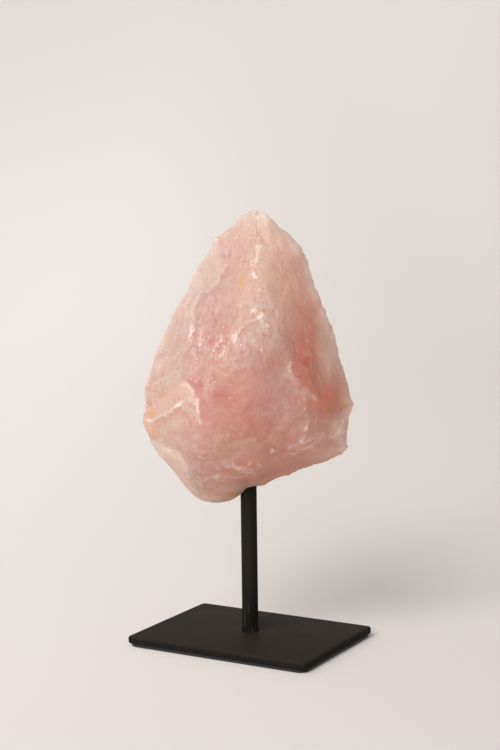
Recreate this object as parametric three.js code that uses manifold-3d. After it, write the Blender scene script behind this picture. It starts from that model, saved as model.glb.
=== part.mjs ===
// A chunk of rough rose quartz on a display stand: the stone is drilled from below and glued on
// a round steel post, which stands on a rectangular steel plate lined with felt underneath.
// Millimetres, +Z up. The origin is on the table under the middle of the plate, and X runs along
// the plate's long side.

import * as THREE from 'three';
import { mergeVertices } from 'three/addons/utils/BufferGeometryUtils.js';
import Module from 'manifold-3d';

// Stand
const PLATE_LENGTH = 102;
const PLATE_DEPTH = 74;
const PLATE_THICKNESS = 3.8;
const PLATE_CORNER_RADIUS = 2.5;
const PLATE_EDGE_ROUNDING = 1.2;
const FELT_THICKNESS = 1.4;
const FELT_INSET = 0.5;
const FELT_CORNER_RADIUS = 5;
const POST_DIAMETER = 8.2;
const POST_CHAMFER = 0.6;
const POST_X = -1;
const POST_Y = 1.7;
const SPIGOT_DIAMETER = 5;
const FIT_GAP = 0.3;
const ROUND_SIDES = 32;

// Stone
const STONE_TURN = 30;
const STONE_BOTTOM = 71.4;
const STONE_TOP = 218;
const BORE_TOP = 106;
const STONE_SIDES = 48;
const STONE_LEVELS = 52;

// The stone's broken faces meet along eight ridges that run from its lowest point up to its tip.
// Each point is [height, across, away], with across to the viewer's right and away from the viewer,
// both measured from the post. The left and right ridges make the outline seen from the front.
const LOWEST = [STONE_BOTTOM, -16, 1];
const TIP = [STONE_TOP, 6.5, 2];

const LEFT_RIDGE = [
  LOWEST, [73, -23.5, 0], [79, -31, 0], [88, -37.5, 0], [98, -46.5, 2], [106, -50.4, 2],
  [116, -52.5, 2], [134, -51, 3], [145, -47.4, 4], [176, -31.3, 4], [190, -25.5, 4],
  [203, -15.8, 3], [215, -2.6, 2], [217.4, 2.4, 2], TIP,
];
const FRONT_LEFT_RIDGE = [
  LOWEST, [75, -21, -6], [88, -25, -17], [98, -27, -26], [108, -25, -32], [118, -23, -33],
  [130, -24, -32], [151, -11, -32], [158, -6, -31], [168, 1, -29], [186, 3, -20], [203, 3, -11],
  [215, 5, -3], TIP,
];
const FRONT_RIDGE = [
  LOWEST, [76, -9, -5], [88, -3, -19], [98, -1, -30], [110, 1, -35.5], [122, 2, -37],
  [140, 3, -35.5], [158, 2, -32], [169, 3, -29.5], [187, 4.5, -20.5], [203, 4.5, -11.5],
  [215, 6, -3], TIP,
];
const FRONT_RIGHT_RIDGE = [
  LOWEST, [76, -3, -3], [90, 18, -10], [100, 26, -22], [109, 26, -31], [117, 29, -32],
  [129, 30, -29], [142, 20, -32], [162, 8, -30], [169, 5, -29], [187, 6.5, -20], [203, 6, -11],
  [215, 8, -3], TIP,
];
const RIGHT_RIDGE = [
  LOWEST, [73, -9, 1], [78.5, 5, 1], [82.3, 13.4, 0], [95.7, 47.8, -3], [98, 49.4, -3],
  [108, 49.6, -3], [119, 52.4, -2], [131, 49.8, 0], [144, 46.4, 2], [157, 44, 3],
  [168.5, 38.4, 4], [187.5, 32.5, 4], [199, 28, 4], [208, 20, 3], [217, 10.8, 2], TIP,
];
const BACK_RIGHT_RIDGE = [
  LOWEST, [75, -6, 7], [85, 15, 16], [96, 34, 19], [115, 37, 24], [140, 33, 23], [165, 26, 20],
  [190, 18, 13], [210, 11, 6], TIP,
];
const BACK_RIDGE = [
  LOWEST, [75, -12, 8], [85, -6, 22], [100, 2, 34], [120, 3, 39], [145, -1, 34], [170, -5, 26],
  [195, -1, 14], [210, 4, 7], TIP,
];
const BACK_LEFT_RIDGE = [
  LOWEST, [75, -20, 5], [85, -28, 12], [100, -35, 20], [118, -37, 24], [140, -34, 24],
  [165, -24, 20], [190, -13, 12], [208, -3, 6], TIP,
];
const RIDGES = [
  LEFT_RIDGE, FRONT_LEFT_RIDGE, FRONT_RIDGE, FRONT_RIGHT_RIDGE,
  RIGHT_RIDGE, BACK_RIGHT_RIDGE, BACK_RIDGE, BACK_LEFT_RIDGE,
];

const plateBottom = FELT_THICKNESS;
const plateTop = plateBottom + PLATE_THICKNESS;
const postTop = BORE_TOP - FIT_GAP;

const wasm = await Module();
wasm.setup();

function toSolid(geometry) {
  const bare = geometry.clone();
  bare.deleteAttribute('normal');
  bare.deleteAttribute('uv');
  const merged = mergeVertices(bare);
  const vertProperties = new Float32Array(merged.attributes.position.array);
  const triVerts = new Uint32Array(merged.index.array);
  return new wasm.Manifold(new wasm.Mesh({ numProp: 3, vertProperties, triVerts }));
}

function toGeometry(solid) {
  const mesh = solid.getMesh();
  const geometry = new THREE.BufferGeometry();
  geometry.setAttribute('position', new THREE.BufferAttribute(mesh.vertProperties, 3));
  geometry.setIndex(new THREE.BufferAttribute(mesh.triVerts, 1));
  geometry.computeVertexNormals();
  return geometry;
}

function roundedRectangle(length, depth, radius) {
  const x = length / 2;
  const y = depth / 2;
  const outline = new THREE.Shape();
  outline.absarc(x - radius, y - radius, radius, 0, Math.PI / 2);
  outline.absarc(radius - x, y - radius, radius, Math.PI / 2, Math.PI);
  outline.absarc(radius - x, radius - y, radius, Math.PI, 1.5 * Math.PI);
  outline.absarc(x - radius, radius - y, radius, 1.5 * Math.PI, 2 * Math.PI);
  outline.closePath();
  return outline;
}

// A place on a ridge at one height, on the straight stretch between the two points around it.
function ridgeAt(ridge, height) {
  let above = 1;
  while (above < ridge.length - 1 && ridge[above][0] < height) above += 1;
  const [lowHeight, lowAcross, lowAway] = ridge[above - 1];
  const [highHeight, highAcross, highAway] = ridge[above];
  const part = THREE.MathUtils.clamp((height - lowHeight) / (highHeight - lowHeight), 0, 1);
  const low = new THREE.Vector2(lowAcross, lowAway);
  return low.lerp(new THREE.Vector2(highAcross, highAway), part);
}

// A place on the stone: turn runs once round it from the left ridge, rise from bottom to tip.
function stonePoint(turn, rise) {
  const height = THREE.MathUtils.lerp(STONE_BOTTOM, STONE_TOP, rise);
  const along = THREE.MathUtils.euclideanModulo(turn, 1) * RIDGES.length;
  const first = Math.floor(along);
  const start = ridgeAt(RIDGES[first], height);
  const end = ridgeAt(RIDGES[(first + 1) % RIDGES.length], height);
  const place = start.lerp(end, along - first);
  return new THREE.Vector3(place.x, place.y, height);
}

// The ball's own grid of points is moved out onto the stone's faces, then the post's hole is cut.
function makeStone() {
  const rough = new THREE.SphereGeometry(1, STONE_SIDES, STONE_LEVELS);
  const { position, uv } = rough.attributes;
  for (let i = 0; i < position.count; i += 1) {
    const point = stonePoint(uv.getX(i), uv.getY(i));
    position.setXYZ(i, point.x, point.y, point.z);
  }
  const boreRadius = POST_DIAMETER / 2 + FIT_GAP;
  const bore = new THREE.CylinderGeometry(boreRadius, boreRadius, BORE_TOP, ROUND_SIDES);
  bore.rotateX(Math.PI / 2);
  bore.translate(0, 0, BORE_TOP / 2);
  return toGeometry(toSolid(rough).subtract(toSolid(bore)));
}

function makePost() {
  const radius = POST_DIAMETER / 2;
  const spigotRadius = SPIGOT_DIAMETER / 2;
  const profile = [
    new THREE.Vector2(0, plateBottom),
    new THREE.Vector2(spigotRadius, plateBottom),
    new THREE.Vector2(spigotRadius, plateTop),
    new THREE.Vector2(radius, plateTop),
    new THREE.Vector2(radius, postTop - POST_CHAMFER),
    new THREE.Vector2(radius - POST_CHAMFER, postTop),
    new THREE.Vector2(0, postTop),
  ];
  return new THREE.LatheGeometry(profile, ROUND_SIDES).rotateX(Math.PI / 2);
}

function makePlate() {
  const outline = roundedRectangle(
    PLATE_LENGTH - 2 * PLATE_EDGE_ROUNDING,
    PLATE_DEPTH - 2 * PLATE_EDGE_ROUNDING,
    PLATE_CORNER_RADIUS - PLATE_EDGE_ROUNDING,
  );
  const spigotHole = new THREE.Path();
  const holeRadius = SPIGOT_DIAMETER / 2 + FIT_GAP + PLATE_EDGE_ROUNDING;
  spigotHole.absarc(POST_X, POST_Y, holeRadius, 0, 2 * Math.PI, true);
  outline.holes.push(spigotHole);
  const plate = new THREE.ExtrudeGeometry(outline, {
    depth: PLATE_THICKNESS - 2 * PLATE_EDGE_ROUNDING,
    bevelThickness: PLATE_EDGE_ROUNDING,
    bevelSize: PLATE_EDGE_ROUNDING,
    bevelSegments: 3,
    curveSegments: 6,
  });
  return plate.translate(0, 0, plateBottom + PLATE_EDGE_ROUNDING);
}

function makeFelt() {
  const outline = roundedRectangle(
    PLATE_LENGTH - 2 * FELT_INSET,
    PLATE_DEPTH - 2 * FELT_INSET,
    FELT_CORNER_RADIUS,
  );
  return new THREE.ExtrudeGeometry(outline, {
    depth: FELT_THICKNESS,
    bevelEnabled: false,
    curveSegments: 6,
  });
}

function makePiece(name, geometry, color, roughness, metalness) {
  const material = new THREE.MeshStandardMaterial({ color, roughness, metalness });
  const piece = new THREE.Mesh(geometry, material);
  piece.name = name;
  return piece;
}

const chunk = new THREE.Group();
chunk.add(makePiece('felt_pad', makeFelt(), '#1b1a19', 1, 0));
chunk.add(makePiece('base_plate', makePlate(), '#2b2725', 0.55, 0.3));

const post = makePiece('post', makePost(), '#1d1b1a', 0.45, 0.3);
post.position.set(POST_X, POST_Y, 0);
chunk.add(post);

const stone = makePiece('rose_quartz', makeStone(), '#d9a59a', 0.5, 0);
stone.position.set(POST_X, POST_Y, 0);
stone.rotation.z = THREE.MathUtils.degToRad(STONE_TURN);
chunk.add(stone);

export default chunk;
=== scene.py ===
import math

import bmesh
import bpy
import numpy as np
from mathutils import Matrix, Vector, noise


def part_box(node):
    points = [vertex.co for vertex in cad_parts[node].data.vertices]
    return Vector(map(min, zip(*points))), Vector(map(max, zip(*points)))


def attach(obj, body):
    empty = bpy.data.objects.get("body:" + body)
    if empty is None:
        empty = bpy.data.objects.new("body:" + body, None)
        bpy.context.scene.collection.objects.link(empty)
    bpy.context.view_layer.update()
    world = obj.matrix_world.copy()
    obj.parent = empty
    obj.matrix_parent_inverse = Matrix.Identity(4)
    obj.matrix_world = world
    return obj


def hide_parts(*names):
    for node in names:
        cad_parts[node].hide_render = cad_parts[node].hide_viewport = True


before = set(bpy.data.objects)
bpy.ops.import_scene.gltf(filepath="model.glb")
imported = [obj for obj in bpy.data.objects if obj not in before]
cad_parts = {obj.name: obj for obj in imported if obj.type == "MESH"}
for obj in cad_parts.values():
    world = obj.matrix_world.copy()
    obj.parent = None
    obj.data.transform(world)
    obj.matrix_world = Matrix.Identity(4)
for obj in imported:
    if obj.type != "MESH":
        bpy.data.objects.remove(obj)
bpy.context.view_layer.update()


# Camera
# It stands a little above the stone's tip, turned from the plate's long side, and looks slightly
# down, so that the plate's corner points at the viewer.
MM = 0.001
VIEW_AZIMUTH = math.radians(30)
VIEW_PITCH = math.radians(6.83)
VIEW_ROLL = math.radians(-0.74)
VIEW_DISTANCE = 815.7 * MM
VIEW_SHIFT = -0.3 * MM
VIEW_RISE = 135.6 * MM
SENSOR = 36
FRAME_HEIGHT = 750
FOCAL_LENGTH_IN_PIXELS = 1600

scene = bpy.context.scene
back = Vector((
    math.sin(VIEW_AZIMUTH) * math.cos(VIEW_PITCH),
    -math.cos(VIEW_AZIMUTH) * math.cos(VIEW_PITCH),
    math.sin(VIEW_PITCH),
))
level_right = Vector((math.cos(VIEW_AZIMUTH), math.sin(VIEW_AZIMUTH), 0))
level_up = back.cross(level_right)
right = level_right * math.cos(VIEW_ROLL) + level_up * math.sin(VIEW_ROLL)
up = level_up * math.cos(VIEW_ROLL) - level_right * math.sin(VIEW_ROLL)
eye = back * VIEW_DISTANCE + right * VIEW_SHIFT + up * VIEW_RISE

camera = bpy.data.objects.new("camera", bpy.data.cameras.new("camera"))
camera.data.sensor_width = SENSOR
camera.data.lens = SENSOR * FOCAL_LENGTH_IN_PIXELS / FRAME_HEIGHT
camera.matrix_world = Matrix.Translation(eye) @ Matrix((right, up, back)).transposed().to_4x4()
scene.collection.objects.link(camera)
scene.camera = camera


# Felt lining
# A thin sheet of black felt glued under the plate, a little smaller than it and with rounder
# corners, so that the stand doesn't scratch a shelf.
FELT_CORNER_RADIUS = 5 * MM
FELT_EDGE_ROUNDING = 0.3 * MM
FELT_BLACK = (0.006, 0.0054, 0.005, 1)
FELT_GREY = (0.014, 0.0128, 0.012, 1)


def add_piece(name, mesh, material, node):
    piece = bpy.data.objects.new(name, mesh)
    scene.collection.objects.link(piece)
    mesh.materials.clear()
    mesh.materials.append(material)
    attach(piece, "root")
    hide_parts(node)
    return piece


def rounded_slab(low, high, corner_radius, corner_steps, edge_radius, edge_steps):
    shape = bmesh.new()
    bmesh.ops.create_cube(shape, size=1)
    size = high - low
    bmesh.ops.scale(shape, vec=size, verts=shape.verts)
    bmesh.ops.translate(shape, vec=(low + high) / 2, verts=shape.verts)
    upright = [e for e in shape.edges if abs(e.verts[0].co.z - e.verts[1].co.z) > size.z / 2]
    bmesh.ops.bevel(
        shape, geom=upright, offset=corner_radius, segments=corner_steps, profile=0.5, affect="EDGES",
    )
    rims = [e for e in shape.edges if abs(e.verts[0].co.z - e.verts[1].co.z) < size.z / 2]
    bmesh.ops.bevel(
        shape, geom=rims, offset=edge_radius, segments=edge_steps, profile=0.5, affect="EDGES",
    )
    mesh = bpy.data.meshes.new("slab")
    shape.to_mesh(mesh)
    shape.free()
    mesh.shade_smooth()
    mesh.set_sharp_from_angle(angle=math.radians(50))
    return mesh


def start_material(name):
    material = bpy.data.materials.new(name)
    material.use_nodes = True
    tree = material.node_tree
    return material, tree, tree.nodes["Principled BSDF"]


def add_node(tree, kind, inputs=None, **settings):
    node = tree.nodes.new(kind)
    for name, value in settings.items():
        setattr(node, name, value)
    for name, value in (inputs or {}).items():
        socket = node.inputs[name]
        if isinstance(value, bpy.types.NodeSocket):
            tree.links.new(value, socket)
        else:
            socket.default_value = value
    return node


def noise_value(tree, vector, scale, detail, roughness):
    node = add_node(
        tree, "ShaderNodeTexNoise",
        {"Vector": vector, "Scale": scale, "Detail": detail, "Roughness": roughness},
    )
    return node.outputs["Fac"]


def mixed(tree, factor, first, second):
    node = add_node(
        tree, "ShaderNodeMix", {"Factor": factor, "A": first, "B": second}, data_type="RGBA",
    )
    return node.outputs["Result"]


def bumped(tree, height, strength, distance):
    node = add_node(
        tree, "ShaderNodeBump", {"Height": height, "Strength": strength, "Distance": distance},
    )
    return node.outputs["Normal"]


felt_material, tree, shader = start_material("black_felt")
place = add_node(tree, "ShaderNodeTexCoord").outputs["Object"]
fibres = noise_value(tree, place, 1800, 4, 0.7)
tree.links.new(mixed(tree, fibres, FELT_BLACK, FELT_GREY), shader.inputs["Base Color"])
tree.links.new(bumped(tree, fibres, 0.6, 0.3 * MM), shader.inputs["Normal"])
shader.inputs["Roughness"].default_value = 1
shader.inputs["Sheen Weight"].default_value = 0.3

felt_low, felt_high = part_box("felt_pad")
felt_mesh = rounded_slab(
    felt_low, felt_high, corner_radius=FELT_CORNER_RADIUS, corner_steps=12,
    edge_radius=FELT_EDGE_ROUNDING, edge_steps=2,
)
add_piece("felt_lining", felt_mesh, felt_material, "felt_pad")


# Base plate
# Flat steel plate with eased edges and corners, powder-coated satin black. The coat is slightly
# mottled and has the faint orange-peel of baked powder; its colour is painted blacker on the upright sides
# as painted shade.
PLATE_CORNER_RADIUS = 2.5 * MM
PLATE_EDGE_ROUNDING = 1.2 * MM
PLATE_BLACK = (0.0205, 0.0163, 0.013, 1)
PLATE_GREY = (0.028, 0.0225, 0.018, 1)
PLATE_SIDE_SHADE = (0.0105, 0.0095, 0.0087, 1)

powder_coat = bpy.data.node_groups.new("powder_coat", "ShaderNodeTree")
for name in ("Black", "Grey"):
    powder_coat.interface.new_socket(name, in_out="INPUT", socket_type="NodeSocketColor")
powder_coat.interface.new_socket("Colour", in_out="OUTPUT", socket_type="NodeSocketColor")
powder_coat.interface.new_socket("Roughness", in_out="OUTPUT", socket_type="NodeSocketFloat")
powder_coat.interface.new_socket("Height", in_out="OUTPUT", socket_type="NodeSocketFloat")
given = powder_coat.nodes.new("NodeGroupInput")
made = powder_coat.nodes.new("NodeGroupOutput")
place = add_node(powder_coat, "ShaderNodeTexCoord").outputs["Object"]
coat_mottle = noise_value(powder_coat, place, 60, 5, 0.65)
coat_colour = mixed(powder_coat, coat_mottle, given.outputs["Black"], given.outputs["Grey"])
coat_roughness = add_node(
    powder_coat, "ShaderNodeMapRange",
    {"Value": coat_mottle, "From Min": 0.3, "From Max": 0.7, "To Min": 0.5, "To Max": 0.62},
)
orange_peel = noise_value(powder_coat, place, 1300, 2, 0.5)
powder_coat.links.new(coat_colour, made.inputs["Colour"])
powder_coat.links.new(coat_roughness.outputs["Result"], made.inputs["Roughness"])
powder_coat.links.new(orange_peel, made.inputs["Height"])


def coated(name, black, grey):
    material, tree, shader = start_material(name)
    coat = tree.nodes.new("ShaderNodeGroup")
    coat.node_tree = powder_coat
    coat.inputs["Black"].default_value = black
    coat.inputs["Grey"].default_value = grey
    tree.links.new(coat.outputs["Roughness"], shader.inputs["Roughness"])
    tree.links.new(bumped(tree, coat.outputs["Height"], 0.25, 0.15 * MM), shader.inputs["Normal"])
    shader.inputs["Specular IOR Level"].default_value = 0.03
    return material, tree, shader, coat.outputs["Colour"]


def ranged(tree, value, start, end, low=0, high=1):
    node = add_node(
        tree, "ShaderNodeMapRange",
        {"Value": value, "From Min": start, "From Max": end, "To Min": low, "To Max": high},
        interpolation_type="SMOOTHSTEP",
    )
    return node.outputs["Result"]


plate_low, plate_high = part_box("base_plate")
plate_mesh = rounded_slab(
    plate_low, plate_high, corner_radius=PLATE_CORNER_RADIUS, corner_steps=8,
    edge_radius=PLATE_EDGE_ROUNDING, edge_steps=6,
)
plate_material, tree, shader, colour = coated("plate_coat", PLATE_BLACK, PLATE_GREY)
normal = add_node(tree, "ShaderNodeNewGeometry").outputs["Normal"]
upward = add_node(tree, "ShaderNodeSeparateXYZ", {"Vector": normal}).outputs["Z"]
# Upright sides are painted darker than the top, as painted shade.
colour = mixed(tree, ranged(tree, upward, 0.1, 0.9, 0.8, 0), colour, PLATE_SIDE_SHADE)
tree.links.new(colour, shader.inputs["Base Color"])
add_piece("coated_plate", plate_mesh, plate_material, "base_plate")


# Post
# Round steel rod with the same coat, welded to the plate with a small fillet and glued into the
# stone. Its colour is painted darker towards the foot as painted shade, with a few upright streaks of
# painted glint there.
POST_BLACK = (0.0118, 0.01, 0.0083, 1)
POST_GREY = (0.0172, 0.0146, 0.012, 1)
POST_FOOT_SHADE = (0.005, 0.0043, 0.0037, 1)
POST_GLINT = (0.045, 0.04, 0.036, 1)
POST_SIDES = 96
POST_END_CHAMFER = 0.6 * MM
WELD_FILLET = 0.7 * MM
FOOT_SHADE_TOP = 40 * MM
GLINT_FULL_TOP = 14 * MM
GLINT_TOP = 34 * MM

post_low, post_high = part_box("post")
post_axis = (post_low + post_high) / 2
post_radius = (post_high.x - post_low.x) / 2
post_rings = [
    (post_radius + WELD_FILLET, plate_high.z),
    (post_radius + 0.3 * WELD_FILLET, plate_high.z + 0.3 * WELD_FILLET),
    (post_radius, plate_high.z + WELD_FILLET),
    (post_radius, post_high.z - POST_END_CHAMFER),
    (post_radius - POST_END_CHAMFER, post_high.z),
]

post_shape = bmesh.new()
rings = []
for radius, height in post_rings:
    ring = []
    for side in range(POST_SIDES):
        angle = math.tau * side / POST_SIDES
        x = post_axis.x + radius * math.cos(angle)
        y = post_axis.y + radius * math.sin(angle)
        ring.append(post_shape.verts.new((x, y, height)))
    rings.append(ring)
for lower, upper in zip(rings, rings[1:]):
    for side in range(POST_SIDES):
        following = (side + 1) % POST_SIDES
        post_shape.faces.new((lower[side], lower[following], upper[following], upper[side]))
post_shape.faces.new(rings[-1])
post_shape.faces.new(rings[0][::-1])
post_mesh = bpy.data.meshes.new("post_rod")
post_shape.to_mesh(post_mesh)
post_shape.free()
post_mesh.shade_smooth()
post_mesh.set_sharp_from_angle(angle=math.radians(30))


def worked_out(tree, operation, first, second):
    return add_node(tree, "ShaderNodeMath", {0: first, 1: second}, operation=operation).outputs["Value"]


post_material, tree, shader, colour = coated("post_coat", POST_BLACK, POST_GREY)
place = add_node(tree, "ShaderNodeTexCoord").outputs["Object"]
height = add_node(tree, "ShaderNodeSeparateXYZ", {"Vector": place}).outputs["Z"]
drawn_out = add_node(tree, "ShaderNodeVectorMath", {0: place, 1: (1, 1, 0.12)}, operation="MULTIPLY")
# Upright streaks low on the rod are painted lighter, as painted glints.
painted_glints = ranged(tree, noise_value(tree, drawn_out.outputs["Vector"], 700, 3, 0.6), 0.58, 0.72)
painted_glints = worked_out(tree, "MULTIPLY", painted_glints, ranged(tree, height, GLINT_FULL_TOP, GLINT_TOP, 0.8, 0))
# The colour is painted darker towards the foot, as painted shade.
colour = mixed(tree, ranged(tree, height, 0, FOOT_SHADE_TOP, 0.95, 0), colour, POST_FOOT_SHADE)
colour = mixed(tree, painted_glints, colour, POST_GLINT)
tree.links.new(colour, shader.inputs["Base Color"])
add_piece("coated_post", post_mesh, post_material, "post")


# Rose quartz
# One natural chunk of cloudy pink quartz, broken from a vein and drilled from below. Its faces
# are shell-shaped breaks and steps, with white bruises, specks and rusty stains.
ROUGH_VOXEL = 1.0 * MM
STONE_VOXEL = 0.72 * MM
HOLE_GAP = 0.3 * MM
HOLE_TOP = 106 * MM


def modified(mesh, kind, **settings):
    holder = bpy.data.objects.new("block", mesh)
    scene.collection.objects.link(holder)
    modifier = holder.modifiers.new("step", kind)
    for name, value in settings.items():
        setattr(modifier, name, value)
    worked = holder.evaluated_get(bpy.context.evaluated_depsgraph_get())
    result = bpy.data.meshes.new_from_object(worked)
    bpy.data.objects.remove(holder)
    return result


def read_vectors(collection, field):
    values = np.empty(len(collection) * 3, np.float32)
    collection.foreach_get(field, values)
    return values.reshape(-1, 3).astype(float)


def relaxed(places, mesh, rounds, share):
    edges = np.empty(len(mesh.edges) * 2, np.int32)
    mesh.edges.foreach_get("vertices", edges)
    first, second = edges.reshape(-1, 2).T
    degree = np.bincount(edges, minlength=len(places))
    for _ in range(rounds):
        middle = np.empty_like(places)
        for axis in range(3):
            total = np.bincount(first, places[second, axis], len(places))
            total += np.bincount(second, places[first, axis], len(places))
            middle[:, axis] = total / degree
        places = places + (middle - places) * share[:, None] / 2
    return places


def smooth_step(values, start, end):
    part = np.clip((values - start) / (end - start), 0, 1)
    return part * part * (3 - 2 * part)


# The stone's own axes, in millimetres from the post: across to the viewer's right, away, and up.
turn_to_stone = np.array(Matrix.Rotation(-VIEW_AZIMUTH, 3, "Z"))
post_foot = np.array((post_axis.x, post_axis.y, 0))


def stone_places(mesh):
    return (read_vectors(mesh.vertices, "co") - post_foot) @ turn_to_stone.T / MM


def set_places(mesh, places):
    in_frame = places @ turn_to_stone * MM + post_foot
    mesh.vertices.foreach_set("co", in_frame.astype(np.float32).ravel())
    mesh.update()
    return read_vectors(mesh.vertex_normals, "vector") @ turn_to_stone.T


# The marks on the front are placed as a viewer in front sees them, on an upright sheet through
# the post: across and up. They are only put on what faces that viewer.
VIEWER = np.array((1.5, -795.8, 231.7))


def sight_lines(places):
    sight = places - VIEWER
    return sight / np.linalg.norm(sight, axis=1, keepdims=True)


def facing_viewer(places, normals):
    return -(normals * sight_lines(places)).sum(axis=1)


def seen_places(places):
    sight = places - VIEWER
    return VIEWER[[0, 2]] - sight[:, [0, 2]] * VIEWER[1] / sight[:, [1]]


def from_outline(seen):
    level = seen[:, 1].astype(int)
    left_end = np.full(level.max() + 1, np.inf)
    right_end = -left_end
    np.minimum.at(left_end, level, seen[:, 0])
    np.maximum.at(right_end, level, seen[:, 0])
    return seen[:, 0] - left_end[level], right_end[level] - seen[:, 0]


def noise_at(points, octaves):
    return np.array([noise.fractal(point, 1.0, 2.0, octaves) for point in points.tolist()])


# The block's flat faces are worn round, but not its outline.
WEAR = 1.4
ABOVE_HOLE = (HOLE_TOP / MM + 2, HOLE_TOP / MM + 6)
rough_mesh = modified(
    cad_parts["rose_quartz"].data.copy(), "REMESH", mode="VOXEL", voxel_size=ROUGH_VOXEL,
)
places = stone_places(rough_mesh)
facing = facing_viewer(places, set_places(rough_mesh, places))
from_post = np.hypot(places[:, 0], places[:, 1])
undrilled = np.maximum(smooth_step(from_post, 5, 10), smooth_step(places[:, 2], *ABOVE_HOLE))
worn = undrilled * smooth_step(np.abs(facing), 0.1, 0.5)
places = relaxed(places, rough_mesh, 240, worn)
places = relaxed(places, rough_mesh, 6, undrilled)
normals = set_places(rough_mesh, places)
outline = 1 - smooth_step(np.abs(facing_viewer(places, normals)), 0.2, 0.7)
low_right = smooth_step(places[:, 0], 0, 12) * (1 - smooth_step(places[:, 2], 90, 102))
put_back = WEAR * undrilled * (0.4 + 0.6 * outline) * (1 - 1.2 * low_right)
places = places + normals * put_back[:, None]

# Seen from the side, the outline is no straight fold: it winds to the front and back, and behind
# it the sides are broken off blunt.
seen = seen_places(places)
inset = np.minimum(*from_outline(seen))
on_sheet = np.insert(seen, 1, 0, axis=1)
winding = 8 * noise_at(on_sheet / 24 + 40, 2) * (1 - smooth_step(inset, 1, 12))
behind = 1 - smooth_step(facing_viewer(places, normals), -0.3, 0)
chipping = 9 * smooth_step(seen[:, 1], 80, 105) * (1 - smooth_step(seen[:, 1], 170, 200))
blunt = 4 + 4 * smooth_step(seen[:, 1], 72, 95) + chipping * noise_at(on_sheet / 16 + 60, 2)
blunt *= behind * smooth_step(inset, 0, 3) * (1 - smooth_step(inset, 8, 30))
pushed_back = undrilled * (winding + blunt)
set_places(rough_mesh, places + sight_lines(places) * pushed_back[:, None])

# The post's hole is drilled from below.
drill_shape = bmesh.new()
bmesh.ops.create_cone(
    drill_shape, cap_ends=True, segments=64, depth=HOLE_TOP,
    radius1=post_radius + HOLE_GAP, radius2=post_radius + HOLE_GAP,
    matrix=Matrix.Translation((post_axis.x, post_axis.y, HOLE_TOP / 2)),
)
drill_mesh = bpy.data.meshes.new("drill")
drill_shape.to_mesh(drill_mesh)
drill_shape.free()
drill = bpy.data.objects.new("drill", drill_mesh)
scene.collection.objects.link(drill)
drilled_mesh = modified(rough_mesh, "BOOLEAN", object=drill, operation="DIFFERENCE", solver="EXACT")
bpy.data.objects.remove(drill)
stone_mesh = modified(drilled_mesh, "REMESH", mode="VOXEL", voxel_size=STONE_VOXEL)

# Crumbs left loose by the breaking are swept off, and what hangs together with the tip is kept.
whole = bmesh.new()
whole.from_mesh(stone_mesh)
reached = [max(whole.verts, key=lambda vertex: vertex.co.z)]
kept = set(reached)
while reached:
    vertex = reached.pop()
    beside = {edge.other_vert(vertex) for edge in vertex.link_edges} - kept
    kept |= beside
    reached.extend(beside)
loose = [vertex for vertex in whole.verts if vertex not in kept]
bmesh.ops.delete(whole, geom=loose, context="VERTS")
whole.to_mesh(stone_mesh)
whole.free()

places = stone_places(stone_mesh)
from_post = np.hypot(places[:, 0], places[:, 1])
undrilled = np.maximum(smooth_step(from_post, 5, 8), smooth_step(places[:, 2], *ABOVE_HOLE))
places = relaxed(places, stone_mesh, 10, undrilled)
normals = set_places(stone_mesh, places)
facing = facing_viewer(places, normals)
front = smooth_step(facing, -0.15, 0.12)
seen = seen_places(places)


def spot(across, height, half_width, half_height):
    offset = (seen - (across, height)) / (half_width, half_height)
    return np.exp(-(offset ** 2).sum(axis=1))


def patch(across, height, half_width, half_height):
    return spot(across, height, half_width, half_height) * front


# Broken edges wander a little to either side of the lines they are drawn on.
jitter = np.stack((noise_at(places / 3.3 + 31, 3), noise_at(places / 3.3 + 47, 3)), axis=1)
wandering = seen + 0.8 * jitter


def along_line(line):
    nearest = np.full(len(seen), np.inf)
    side = np.zeros(len(seen))
    travelled = np.zeros(len(seen))
    length = 0
    for start, end in zip(line, line[1:]):
        step = np.subtract(end, start)
        span = np.hypot(*step)
        offset = wandering - start
        part = np.clip(offset @ step / span ** 2, 0, 1)
        gap = np.linalg.norm(offset - part[:, None] * step, axis=1)
        closer = gap < nearest
        nearest[closer] = gap[closer]
        side[closer] = np.sign(offset[:, 0] * step[1] - offset[:, 1] * step[0])[closer]
        travelled[closer] = length + part[closer] * span
        length += span
    ends = smooth_step(travelled, 0, 3) * smooth_step(length - travelled, 0, 3)
    return nearest, nearest * side, ends


def line_glow(line, width):
    return np.exp(-(along_line(line)[0] / width) ** 2) * front


def right_of(line, soft, reach):
    nearest, to_right, ends = along_line(line)
    return smooth_step(to_right, -soft, soft) * np.exp(-nearest / reach) * ends * front


def left_of(line, soft, reach):
    return right_of(line[::-1], soft, reach)


# The grain runs up and down, drawing together far above the tip.
GRAIN_CENTRE = (5, 300)
GRAIN_SPREAD = 150
GRAIN_DEPTH = 0.7
GRAIN_STRETCH = 0.25
from_centre = seen - GRAIN_CENTRE
fan = np.stack((
    np.arctan2(from_centre[:, 0], -from_centre[:, 1]) * GRAIN_SPREAD,
    places[:, 1] * GRAIN_DEPTH,
    np.linalg.norm(from_centre, axis=1) * GRAIN_STRETCH,
), axis=1)
streaky = np.clip(smooth_step(seen[:, 1], 115, 160) + patch(30, 130, 14, 25), 0, 1)

clouds = noise_at(places / 24, 3)
mottle = noise_at(places / 9 + 7, 3)
crumbs = noise_at(places / 3.5 + 11, 3)
fine = noise_at(places / 1.8 + 3, 3)
grain = noise_at(fan / 2.2, 3)

# Quartz breaks in small flat facets, each leaning its own way, drawn out along the grain.
LEAN_MIX = np.array(((127.1, 269.5, 113.5), (311.7, 183.3, 271.9), (74.7, 246.1, 124.6)))
LEAN_SCATTER = 43758.5453


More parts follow.
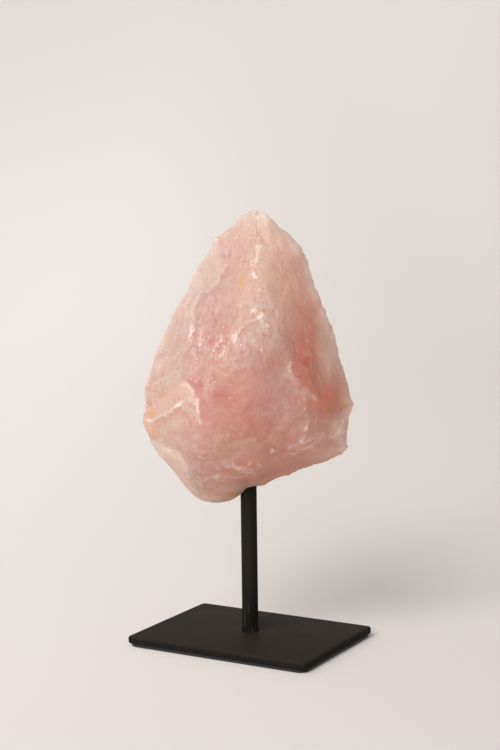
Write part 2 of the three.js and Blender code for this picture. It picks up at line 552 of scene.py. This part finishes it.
def facets(points, size):
    spread = points / size
    found = [noise.voronoi(point) for point in spread.tolist()]
    gaps = np.array([distances[:2] for distances, centres in found])
    centre = np.array([centres[0][:] for distances, centres in found])
    lean = np.sin(np.round(centre, 3) @ LEAN_MIX) * LEAN_SCATTER
    lean = 2 * (lean - np.floor(lean)) - 1
    return ((spread - centre) * lean).sum(axis=1) * size, lean[:, 0], gaps


bent = places + 1.2 * np.stack((crumbs, mottle, fine), axis=1)
bent_fan = fan + 0.8 * np.stack((crumbs, mottle, fine), axis=1)
wide_lean, wide_facet_shade = facets(bent, 11)[:2]
small_lean, small_facet_shade = facets(bent, 4.5)[:2]
long_lean, long_facet_shade = facets(bent_fan, 3)[:2]
smooth = patch(2, 120, 24, 24) + 0.5 * patch(24, 180, 10, 20) + 0.5 * patch(-24, 190, 12, 20)
smooth = np.clip(smooth, 0, 1)
inside = smooth_step(np.abs(facing), 0.1, 0.5)
rough = inside * (1 - 0.85 * smooth) * smooth_step(clouds + 0.6 * mottle, -0.5, 0.4)
broken = rough * (0.15 * small_lean * (1 - streaky) + 0.1 * long_lean * streaky)
# Each facet's lean also sets a tone, painted into the colour below as painted shade between facets.
facet_shade = (1 - 0.7 * smooth) * (small_facet_shade * (1 - streaky) + long_facet_shade * streaky)

# Away from the viewer the breaks are larger shells that meet in blunt edges.
shell = facets(places + 3 * np.stack((mottle, clouds, crumbs), axis=1), 17)[2]
hollow = np.clip(1 - (shell[:, 0] / 0.8) ** 2, 0, 1)
shell_edge = 1 - smooth_step(shell[:, 1] - shell[:, 0], 0, 0.16)
away = 1 - smooth_step(facing, -0.45, -0.1)

# Each mark starts from an even spread over the whole stone, and the places below add to it.
relief = 0.9 * noise_at(places / 30 + 5, 2) + 0.4 * mottle
relief += (0.2 * crumbs + 0.1 * fine) * (0.4 + 0.6 * inside)
calm = 1 - 0.7 * patch(32, 160, 14, 45)
relief += 0.15 * grain * streaky * calm - 1.3 * hollow * away
relief += broken + 0.06 * wide_lean * inside * (1 - 0.7 * smooth)
# Thin edges are painted pinker and less white, as a painted tint of the light they let through.
thin_edge_glow = 1 - smooth_step(np.abs(facing), 0.05, 0.35)
pink = 0.36 + 0.22 * thin_edge_glow + (0.1 + 0.1 * away) * clouds + 0.1 * mottle
# Facets are painted pinker or paler by their lean, as painted shade between facets.
pink += 0.07 * facet_shade + 0.04 * wide_facet_shade
peach = 0.12 + 0.3 * noise_at(places / 16 + 21, 3)
terracotta = 0.1 * clouds * away
white = 0.05 - 0.1 * thin_edge_glow + 0.12 * clouds + 0.15 * mottle
white += 0.4 * shell_edge * away * (0.6 + mottle)
specks = 0.12 + 0.2 * clouds
stain = 0.5 * shell_edge * away * smooth_step(clouds, 0.25, 0.5)
# clear: a pale warm colour painted where light would shine through thin parts, as painted glow.
clear = np.zeros(len(places))
darkened = np.zeros(len(places))

# Upper left face: pale, with fine upright grain. A thin flake ends at the shoulder, and below it
# the face is pinker and set with many white specks and slivers.
SHOULDER = [
    (-29.1, 154.6), (-27, 160.2), (-26.4, 165.7), (-25.2, 171.8), (-23.4, 177.1), (-19, 178.4),
    (-14.8, 181.7), (-12.8, 186.1), (-8.3, 193.7),
]
SLIVERS = [
    [(-26.8, 160.8), (-29.2, 154.4)], [(-22.5, 158.5), (-23.2, 155)], [(-23.2, 154), (-24.2, 149.6)],
    [(-11.4, 148), (-13.2, 145.6)],
]
relief += 0.35 * crumbs * patch(-22, 150, 15, 18) - 0.7 * right_of(SHOULDER, 0.8, 9)
pink += 0.2 * right_of(SHOULDER, 1, 7) - 0.2 * left_of(SHOULDER, 1, 7)
pink += 0.35 * patch(-15, 164, 9, 18) + 0.3 * patch(-30, 148, 14, 16)
pink -= 0.25 * patch(-24, 188, 12, 24) + 0.15 * patch(-42, 142, 10, 24) + 0.15 * patch(-38, 150, 6, 9)
white += 0.25 * left_of(SHOULDER, 0.5, 1.5) + 0.1 * patch(-20, 146, 15, 18)
for sliver in SLIVERS:
    white += (0.45 + 0.4 * fine) * line_glow(sliver, 0.9)
specks += 0.62 * patch(-17, 147, 14, 17) + 0.5 * patch(-40, 134, 11, 18)

# Crest: the front edge below the tip, bruised to powder in places, with beige quartz beside it.
CREST = [(6.3, 216), (6.8, 206), (6, 196), (3.8, 188.6), (4.9, 183), (5, 176), (3.3, 168.7), (9, 163)]
BRUISES = [
    (6.3, 212, 1, 2.4), (6.6, 199.3, 2.6, 1.8), (5.4, 195, 1.1, 2.6), (3.9, 189, 1.3, 2.8),
    (4.4, 183, 1.4, 4), (6, 177, 1, 3), (8.5, 173.3, 1.2, 2.8), (3.4, 168.7, 2.2, 1.6),
    (8.5, 167.5, 2.6, 1.8), (9.7, 160.5, 1.6, 2.6), (12.4, 158.6, 1.2, 1.2),
]
relief += (0.3 * crumbs - 0.4) * line_glow(CREST, 4)
# Painted shade darkens the crest's left side where the lamps strike it, and the tip is painted paler as
# painted glow.
pink += 0.2 * patch(-1, 184, 7, 20) - 0.3 * spot(9, 213, 14, 8)
peach += 0.35 * patch(-3, 186, 8, 18) + 0.25 * patch(11, 188, 6, 16)
white += 0.14 * line_glow(CREST, 3) * (0.8 + crumbs) - 0.1 * patch(-3, 178, 7, 22)
for across, height, half_width, half_height in BRUISES:
    white += (0.38 + 0.3 * crumbs + 0.4 * fine) * patch(across, height, half_width, half_height)
white += 0.14 * spot(13, 212, 8, 8) - 0.1 * spot(6, 214, 14, 10)
specks += 0.5 * line_glow(CREST, 4) + 0.6 * patch(9, 182, 4, 5)
# Painted glow lightens the tip's right side and a spot right of the crest.
clear += 0.3 * patch(14, 209, 8, 10) + 0.25 * patch(15, 163, 5, 8)
stain += 0.9 * patch(-2, 183.7, 0.9, 2.6) + 0.5 * patch(2.9, 200.7, 0.9, 1.2)

# Upper right face: rounder, brownish above and terracotta lower down. Warm painted glow lightens
# it above and along its chipped rim.
RED_STRIPE = [(28.2, 162), (29.6, 156), (30.8, 151)]
rim = (1 - smooth_step(np.abs(facing), 0.05, 0.3)) * smooth_step(seen[:, 0], 12, 20)
right_edge = (1 - smooth_step(from_outline(seen)[1], 0.5, 8)) * smooth_step(seen[:, 1], 104, 116)
relief += 2.0 * patch(20, 184, 11, 26) + (0.5 * crumbs + 0.4 * fine) * rim
terracotta += 0.45 * patch(25, 178, 10, 20) + 0.9 * patch(29.5, 146, 8.5, 24)
terracotta += (0.1 + 0.25 * spot(40, 166, 20, 18)) * right_edge + 0.6 * patch(43, 128, 8, 11)
terracotta -= 0.08 * patch(40.5, 156, 3.5, 12) + 0.35 * line_glow(RED_STRIPE, 1)
clear += (0.38 + 0.1 * smooth_step(seen[:, 1], 165, 185)) * right_edge
clear += 0.4 * patch(24, 184, 14, 24) + 0.4 * patch(42, 149, 4, 14)
clear += 0.25 * spot(17, 208, 8, 8) + 0.2 * spot(29, 194, 6, 8)
peach += 0.3 * patch(20, 192, 8, 16)
white += 0.25 * line_glow(RED_STRIPE, 0.8)
specks += 0.35 * patch(28, 150, 14, 18)

# Arch: the top edge of the large break on the front, bruised white.
ARCH = [(-6.6, 153.2), (-4.6, 157.1), (-1.5, 160.7), (1.3, 163.2), (5.2, 164.8), (8, 165.9)]
relief -= 0.9 * right_of(ARCH, 0.7, 7)
pink -= 0.1 * right_of(ARCH, 1, 8)
white += 0.5 * line_glow(ARCH, 0.7) - 0.12 * patch(-6, 160, 6, 5)
white += 0.3 * patch(-6, 154.4, 0.8, 1.4) + 0.6 * patch(7.2, 148.9, 0.9, 0.9)

# Front break: smooth and deep pink, fading upwards, with a few short white dashes.
DASHES = [
    (-9.3, 124.5), (-6.8, 121.9), (-3.1, 123.8), (-11.3, 119.5), (-9, 106.1), (-2.7, 105.4),
    (10.1, 121.1), (10.7, 116), (-13.3, 110), (-8.3, 109.9), (-23, 94.8), (6, 90.6),
]
pink += 0.66 * patch(-2, 114, 30, 22) + 0.32 * patch(-2, 130, 12, 9) + 0.32 * patch(12, 143, 9, 10)
pink += 0.2 * patch(-13, 113, 7, 8) + 0.25 * spot(8, 86, 16, 8)
pink -= 0.2 * patch(-20, 128, 5, 8) + 0.25 * patch(-20, 102, 5, 6)
white -= 0.2 * patch(4, 120, 22, 20) + 0.15 * patch(-5, 124, 11, 11)
terracotta += 0.1 * patch(0, 130, 9, 8) + 0.08 * patch(-8, 121, 9, 8)
specks -= 0.15 * patch(8, 128, 16, 18)
for across, height in DASHES:
    white += 0.6 * line_glow([(across - 1.1, height + 0.8), (across + 1.1, height - 0.6)], 0.5)

# Left shell: a thin pale flake whose broken edge stands over the front break.
LIP = [
    (-22.7, 110.7), (-24.4, 115.8), (-23.7, 118), (-24.9, 121.6), (-24, 124.4), (-26.5, 126.4),
    (-26.3, 129.3), (-29.2, 131.7), (-31.8, 135),
]
SECOND_LIP = [(-29, 108.3), (-29.9, 112.7), (-31.4, 116.5), (-32.9, 119.1)]
relief -= 0.8 * right_of(LIP, 0.9, 8) + 0.5 * right_of(SECOND_LIP, 0.6, 5)
pink += 0.4 * right_of(LIP, 0.5, 6) - 0.3 * left_of(LIP, 0.5, 11)
# The thin flake is also lightened with painted glow.
clear += 0.18 * left_of(LIP, 0.5, 11)
white += (0.3 + 0.3 * crumbs) * left_of(LIP, 0.4, 1.5) + 0.2 * left_of(SECOND_LIP, 0.4, 1.5)

# Left tip: a white crease, pinker below it, and rust where water has come in.
CREASE = [(-48.4, 114.2), (-44, 115.4), (-41.5, 116.4), (-38.3, 117.9), (-34.5, 121.7), (-31.6, 123.2)]
relief += 0.4 * line_glow(CREASE, 1.3) - 0.6 * right_of(CREASE, 0.8, 8)
relief += 0.7 * spot(-52.5, 114, 3, 4) - 1.4 * spot(-51, 122.5, 2.5, 2.5)
white += 0.4 * line_glow(CREASE, 0.9) + 0.3 * patch(-34.5, 121.7, 2, 1.2)
pink += 0.25 * right_of(CREASE, 0.8, 8) + 0.25 * patch(-41, 125, 6, 5) + 0.12 * patch(-36, 124, 8, 6)
peach += 0.45 * patch(-41, 124, 8, 8) + 0.3 * patch(-44, 108, 6, 5)
stain += patch(-48, 118.4, 0.8, 2.4) + 0.8 * patch(-50, 113.4, 0.9, 1.5) + 0.4 * patch(-47, 109, 3, 2.5)

# Brow: the pale ridge between the front break and the right face, partly worn white and partly
# lightened with painted glow, with a dotted vein below.
BROW = [
    (34.6, 122), (34, 124.6), (31.5, 128.1), (28.1, 130.3), (25.9, 134.1), (23.7, 136.7),
    (21.4, 139.2), (21.2, 142),
]
VEIN = [
    (28.9, 123.4), (29.2, 119.6), (27.6, 116.4), (30.7, 113.5), (29.6, 110), (28.1, 105.6), (26.6, 103.4),
]
relief += 0.4 * line_glow(BROW, 3) * (1 + crumbs) - 0.5 * right_of(BROW, 1, 8)
relief += 0.25 * line_glow(VEIN, 1.2)
pink -= 0.2 * left_of(BROW, 1.4, 3)
clear += (0.3 + 0.4 * crumbs) * left_of(BROW, 1.2, 3)
terracotta += 0.15 * right_of(BROW, 1.4, 5) - (0.35 + 0.3 * crumbs) * left_of(BROW, 1.4, 4)
white += (0.2 + 0.4 * crumbs) * left_of(BROW, 1, 2.5) + (0.5 + 0.6 * crumbs) * line_glow(VEIN, 1)
white += 0.4 * patch(21.5, 141, 0.8, 3.5)
specks += 0.5 * patch(24, 118, 7, 5)

# Right nose: brown stained, with slanting white streaks and a pale corner below; painted glow
# lightens the corner and the streaks.
STREAKS = [
    [(21.2, 99.6), (27.5, 102.1), (33.8, 104.9), (37.6, 106.7)],
    [(24.3, 98), (31.3, 100.5), (37.6, 104.5)], [(41.4, 104.5), (47, 107.3)],
]
relief += 1.2 * spot(53, 121, 3, 3) - 0.2 * spot(51, 107, 3, 5) + 1.3 * spot(49.5, 97, 2.5, 2.5)
pink += 0.3 * patch(20, 99, 12, 8)
terracotta += 0.5 * patch(39, 120, 8, 8) + 0.45 * patch(32, 99, 12, 6)
terracotta += 0.14 * patch(26, 100, 26, 14) - 0.4 * patch(46.5, 104, 3, 6)
clear += 0.3 * spot(46, 103, 6, 10) + 0.3 * spot(44, 95, 6, 4) + 0.3 * spot(34, 96, 7, 5)
clear += 0.1 * patch(26, 100, 26, 14)
stain += 0.3 * patch(40.5, 119.6, 3, 2.5) + 0.35 * patch(48, 121, 4, 2) + 0.7 * patch(46.5, 96.2, 2.8, 0.8)
white += 0.5 * patch(39.5, 112.6, 2.2, 1.4)
# A small spot beside the stains is darkened.
darkened += 0.12 * patch(41, 117.5, 3, 2)
for streak in STREAKS:
    relief += 0.45 * line_glow(streak, 0.9)
    white += (0.3 + 0.3 * fine) * line_glow(streak, 0.9)
    clear += 0.25 * line_glow(streak, 1.2)

# Underside: warmer, with white chips, painted glow across it and along a pale edge at the left, and
# darker round the post's hole.
GLOW_EDGE = [(-48.6, 104.7), (-44.3, 102.1), (-35.5, 97.5), (-31.2, 91.1), (-30.4, 84.7), (-25.8, 76.3)]
LOW_RIM = [(5.8, 78.4), (10.9, 81.6), (17.2, 84.7), (28, 89), (43.8, 95.2)]
LOW_CHIP = [(-11.7, 91.2), (-6, 88.2), (-1.5, 86.2), (3.2, 85.6)]
LOW_STREAK = [(-8.5, 91), (-3, 88.6), (2.4, 88)]
CHIPS = [
    (12.3, 97.5, 1.6, 1.6), (14.2, 93.7, 1.2, 1), (22.6, 96.2, 2.4, 0.7),
    (-15.5, 88.6, 1, 1.2), (-10.5, 88.9, 1.4, 0.9), (-16.2, 84.5, 1.5, 1.4),
]
relief -= 0.9 * right_of(LOW_CHIP, 0.6, 3) + 0.5 * right_of(GLOW_EDGE, 0.6, 6)
pink += 0.25 * patch(-28, 98, 8, 7) - 0.5 * right_of(GLOW_EDGE, 0.7, 9)
clear += 0.35 * right_of(GLOW_EDGE, 1.2, 7) + 0.3 * spot(-14, 79, 14, 9) + 0.1 * spot(14, 88, 18, 9)
clear += 0.3 * spot(-36, 88, 4, 6) + 0.15 * spot(-16, 91, 7, 9)
clear += 0.12 * spot(0, 92, 8, 7) + 0.08 * spot(14, 90, 16, 8)
peach += 0.3 * patch(-8, 79, 14, 5)
terracotta += 0.6 * patch(14, 89, 24, 8) + 0.3 * patch(-12, 83, 16, 10)
terracotta += 0.2 * spot(2, 88, 14, 8) + 0.3 * right_of(LOW_CHIP, 0.5, 4)
white += (0.55 + 0.4 * fine) * line_glow(LOW_CHIP, 1.4) + 0.4 * line_glow(LOW_STREAK, 0.7)
white += 0.22 * right_of(GLOW_EDGE, 0.6, 6)
for across, height, half_width, half_height in CHIPS:
    white += (0.62 + 0.5 * fine) * patch(across, height, half_width, half_height)
stain += 0.9 * spot(-8, 75.6, 3.5, 1.5) + 0.8 * spot(9, 80.8, 5, 1.5) + 0.35 * line_glow(LOW_RIM, 0.9)
# The colour is darker round the post's hole.
darkened += 0.35 * patch(-1, 80.5, 5, 3)

# Outline: a small spur stands out on the left below the tip, which is drawn in and up.
TIP_ACROSS = 6.5
TIP_FOOT = 204
TIP_NARROWING = 0.17
TIP_RISE = 1.8
relief += 1.8 * spot(-14.4, 203.4, 1.2, 1.5)
places += normals * (relief * undrilled)[:, None]
drawn_in = TIP_NARROWING * smooth_step(places[:, 2], TIP_FOOT, TIP_FOOT + 8)
places[:, 0] -= drawn_in * (places[:, 0] - TIP_ACROSS)
places[:, 2] += TIP_RISE * smooth_step(places[:, 2], TIP_FOOT, TIP_FOOT + 12)

# Drilled hole: its front edge is chipped away in a hollow that opens to the lower right.
HOLE_EDGE_LEFT = 73.6
HOLE_EDGE_CLIMB = 6.8
HOLE_EDGE_SLOPE = 0.325
along_hole = np.clip(0.5 + places[:, 0] * MM / (2 * post_radius), 0, 1)
hole_edge = HOLE_EDGE_LEFT + HOLE_EDGE_CLIMB * (1 - (1 - along_hole) ** 2.5)
chipped = hole_edge - HOLE_EDGE_SLOPE * places[:, 1] - places[:, 2]
in_hollow = (1 - smooth_step(from_post, 6, 10)) * (places[:, 2] < 90)
places[:, 2] += np.maximum(chipped, 0) * in_hollow
normals = set_places(stone_mesh, places)
stone_mesh.shade_smooth()

# Edges that stand out are painted paler and the hollows beside them pinker, as painted light and shade of
# the relief.
relief_shade = ((places - relaxed(places, stone_mesh, 6, undrilled)) * normals).sum(axis=1)
relief_shade = np.clip(relief_shade / relief_shade.std(), -3, 3) * undrilled
white += 0.1 * np.maximum(relief_shade - 0.6, 0) * inside
pink -= 0.05 * relief_shade * inside

marks = {
    "pink": pink, "peach": peach, "terracotta": terracotta, "white": white, "specks": specks,
    "stain": stain, "clear": clear, "darkened": darkened, "streaky": streaky,
}
for name, values in marks.items():
    attribute = stone_mesh.attributes.new(name, "FLOAT", "POINT")
    attribute.data.foreach_set("value", np.clip(values, 0, 1).astype(np.float32))
attribute = stone_mesh.attributes.new("fan", "FLOAT_VECTOR", "POINT")
attribute.data.foreach_set("vector", fan.astype(np.float32).ravel())

STONE_PALE = (0.508, 0.418, 0.37, 1)
STONE_PINK = (0.45, 0.195, 0.169, 1)
STONE_PEACH = (0.52, 0.378, 0.29, 1)
STONE_TERRACOTTA = (0.6, 0.2, 0.135, 1)
STONE_WHITE = (0.86, 0.79, 0.755, 1)
STONE_RUST = (0.6, 0.29, 0.09, 1)
STONE_PAINTED_GLOW = (0.84, 0.58, 0.49, 1)
STONE_DARKENED = (0.16, 0.075, 0.05, 1)


def between(tree, factor, first, second):
    return add_node(tree, "ShaderNodeMix", {"Factor": factor, "A": first, "B": second}).outputs["Result"]


def speck_mask(tree, vector, scale, density):
    cells = add_node(tree, "ShaderNodeTexVoronoi", {"Vector": vector, "Scale": scale})
    chance = add_node(tree, "ShaderNodeSeparateColor", {"Color": cells.outputs["Color"]})
    present = ranged(tree, worked_out(tree, "SUBTRACT", density, chance.outputs["Red"]), 0, 0.3)
    radius = ranged(tree, chance.outputs["Green"], 0, 1, 0.1, 0.28)
    core = worked_out(tree, "MULTIPLY", radius, 0.3)
    speck = ranged(tree, cells.outputs["Distance"], core, radius, 1, 0)
    return worked_out(tree, "MULTIPLY", present, speck)


stone_material, tree, shader = start_material("rose_quartz")
place = add_node(tree, "ShaderNodeTexCoord").outputs["Object"]
fan_place = add_node(tree, "ShaderNodeAttribute", attribute_name="fan").outputs["Vector"]
mark = {}
for name in marks:
    mark[name] = add_node(tree, "ShaderNodeAttribute", attribute_name=name).outputs["Fac"]
even_clouds = noise_value(tree, place, 160, 6, 0.7)
drawn_clouds = noise_value(tree, fan_place, 0.45, 6, 0.75)
cloudy = between(tree, mark["streaky"], even_clouds, drawn_clouds)
grainy = noise_value(tree, place, 900, 3, 0.6)
pinkness = worked_out(tree, "ADD", mark["pink"], ranged(tree, cloudy, 0.3, 0.7, -0.26, 0.26))
pinkness = worked_out(tree, "ADD", pinkness, ranged(tree, grainy, 0.3, 0.7, -0.14, 0.14))
colour = mixed(tree, pinkness, STONE_PALE, STONE_PINK)
colour = mixed(tree, mark["peach"], colour, STONE_PEACH)
redness = worked_out(tree, "MULTIPLY", mark["terracotta"], ranged(tree, cloudy, 0.3, 0.7, 1.2, 0.8))
colour = mixed(tree, redness, colour, STONE_TERRACOTTA)
# Painted glow: the clear mark lightens the colour as if light shone through.
colour = mixed(tree, mark["clear"], colour, STONE_PAINTED_GLOW)
colour = mixed(tree, mark["stain"], colour, STONE_RUST)
even_grains = noise_value(tree, place, 1000, 4, 0.7)
drawn_grains = noise_value(tree, fan_place, 1.7, 4, 0.7)
uncovered = ranged(tree, between(tree, mark["streaky"], even_grains, drawn_grains), 0.3, 0.7)
bruise = ranged(tree, worked_out(tree, "SUBTRACT", mark["white"], uncovered), -0.14, 0.3, 0, 0.46)
dots = speck_mask(tree, place, 480, mark["specks"])
dots = worked_out(tree, "MAXIMUM", dots, speck_mask(tree, fan_place, 0.9, mark["specks"]))
dots = worked_out(tree, "MAXIMUM", dots, speck_mask(tree, fan_place, 1.6, mark["specks"]))
colour = mixed(tree, ranged(tree, mark["white"], 0.2, 1, 0, 0.3), colour, STONE_WHITE)
colour = mixed(tree, bruise, colour, STONE_WHITE)
colour = mixed(tree, worked_out(tree, "MULTIPLY", dots, 0.46), colour, STONE_WHITE)
colour = mixed(tree, mark["darkened"], colour, STONE_DARKENED)
raised = worked_out(tree, "MULTIPLY", bruise, 0.3)
height = worked_out(tree, "ADD", raised, noise_value(tree, place, 600, 5, 0.65))
dulled = worked_out(tree, "MULTIPLY", bruise, 0.5)
dullness = worked_out(tree, "ADD", ranged(tree, cloudy, 0.3, 0.7, 0.46, 0.6), dulled)
tree.links.new(colour, shader.inputs["Base Color"])
tree.links.new(dullness, shader.inputs["Roughness"])
tree.links.new(bumped(tree, height, 0.5, 0.4 * MM), shader.inputs["Normal"])
shader.inputs["IOR"].default_value = 1.54
shader.inputs["Specular IOR Level"].default_value = 0.25
shader.inputs["Subsurface Weight"].default_value = 0.8
shader.inputs["Subsurface Radius"].default_value = (1, 0.65, 0.52)
shader.inputs["Subsurface Scale"].default_value = 46 * MM
add_piece("quartz_chunk", stone_mesh, stone_material, "rose_quartz")


# Studio
# A pale seamless paper floor that curves up all round far from the object, two broad soft lamps at
# the front left, one high and one low, and a pale sky that is brighter on the left.
FLOOR_RADIUS = 1.0
COVE_RADIUS = 9.0
COVE_ANGLE = math.radians(36)
COVE_STEPS = 32
STAGE_SIDES = 96
STAGE_LEFT = (0.85, 0.813, 0.795, 1)
# Painted shade: the paper's colour darkens to the right, far away, and further right still.
STAGE_RIGHT_SHADED = (0.668, 0.63, 0.614, 1)
STAGE_FAR_SHADED = (0.56, 0.532, 0.518, 1)
STAGE_DIM_SHADED = (0.5, 0.47, 0.46, 1)
SHADE_REACH = 0.35
FAR_START = 0.5
FAR_END = 6.0
DIM_START = 0.4
DIM_END = 1.6

profile = [(0.0, 0.0), (FLOOR_RADIUS, 0.0)]
for step in range(1, COVE_STEPS + 1):
    angle = COVE_ANGLE * step / COVE_STEPS
    profile.append((FLOOR_RADIUS + COVE_RADIUS * math.sin(angle), COVE_RADIUS * (1 - math.cos(angle))))
stage_shape = bmesh.new()
line = [stage_shape.verts.new((radius, 0, height)) for radius, height in profile]
strips = [stage_shape.edges.new(pair) for pair in zip(line, line[1:])]
bmesh.ops.spin(
    stage_shape, geom=line + strips, cent=(0, 0, 0), axis=(0, 0, 1), angle=math.tau,
    steps=STAGE_SIDES, use_merge=True, use_duplicate=False,
)
bmesh.ops.remove_doubles(stage_shape, verts=stage_shape.verts, dist=MM)
bmesh.ops.recalc_face_normals(stage_shape, faces=stage_shape.faces)
stage_mesh = bpy.data.meshes.new("stage")
stage_shape.to_mesh(stage_mesh)
stage_shape.free()
stage_mesh.shade_smooth()
stage = bpy.data.objects.new("stage", stage_mesh)
scene.collection.objects.link(stage)

stage_material, tree, shader = start_material("stage_paper")
place = add_node(tree, "ShaderNodeTexCoord").outputs["Object"]
side = add_node(tree, "ShaderNodeVectorMath", {0: place, 1: level_right}, operation="DOT_PRODUCT")
side = side.outputs["Value"]
# The paper is painted darker to the right, far off and far to the right, as painted shade.
shade = mixed(tree, ranged(tree, side, -SHADE_REACH, SHADE_REACH), STAGE_LEFT, STAGE_RIGHT_SHADED)
distance = add_node(tree, "ShaderNodeVectorMath", {0: place}, operation="LENGTH").outputs["Value"]
shade = mixed(tree, ranged(tree, distance, FAR_START, FAR_END), shade, STAGE_FAR_SHADED)
shade = mixed(tree, ranged(tree, side, DIM_START, DIM_END), shade, STAGE_DIM_SHADED)
tree.links.new(shade, shader.inputs["Base Color"])
shader.inputs["Roughness"].default_value = 1
shader.inputs["Specular IOR Level"].default_value = 0
stage_mesh.materials.append(stage_material)

LAMP_SPREAD = math.radians(36)
LAMP_COLOUR = (1, 0.97, 0.95)


def add_lamp(name, azimuth, elevation, strength):
    direction = Vector((
        math.sin(azimuth) * math.cos(elevation),
        -math.cos(azimuth) * math.cos(elevation),
        math.sin(elevation),
    ))
    lamp = bpy.data.objects.new(name, bpy.data.lights.new(name, "SUN"))
    lamp.data.angle = LAMP_SPREAD
    lamp.data.energy = strength
    lamp.data.color = LAMP_COLOUR
    lamp.rotation_euler = direction.to_track_quat("Z", "Y").to_euler()
    scene.collection.objects.link(lamp)


add_lamp("high_lamp", azimuth=math.radians(-8), elevation=math.radians(43), strength=1.8)
add_lamp("low_lamp", azimuth=math.radians(10), elevation=math.radians(20), strength=1.7)

SKY_AZIMUTH = math.radians(-55)
SKY_BRIGHT = (0.93, 0.9, 0.872, 1)
SKY_DIM = (0.04, 0.038, 0.037, 1)
scene.world = bpy.data.worlds.new("studio_sky")
scene.world.use_nodes = True
tree = scene.world.node_tree
direction = add_node(tree, "ShaderNodeTexCoord").outputs["Generated"]
bright_side = (math.sin(SKY_AZIMUTH), -math.cos(SKY_AZIMUTH), 0)
side = add_node(tree, "ShaderNodeVectorMath", {0: direction, 1: bright_side}, operation="DOT_PRODUCT")
sideways = add_node(
    tree, "ShaderNodeMapRange", {"Value": side.outputs["Value"], "From Min": -1, "From Max": 1},
)
sky_colour = mixed(tree, sideways.outputs["Result"], SKY_DIM, SKY_BRIGHT)
tree.links.new(sky_colour, tree.nodes["Background"].inputs["Color"])
scene.view_settings.view_transform = "Standard"
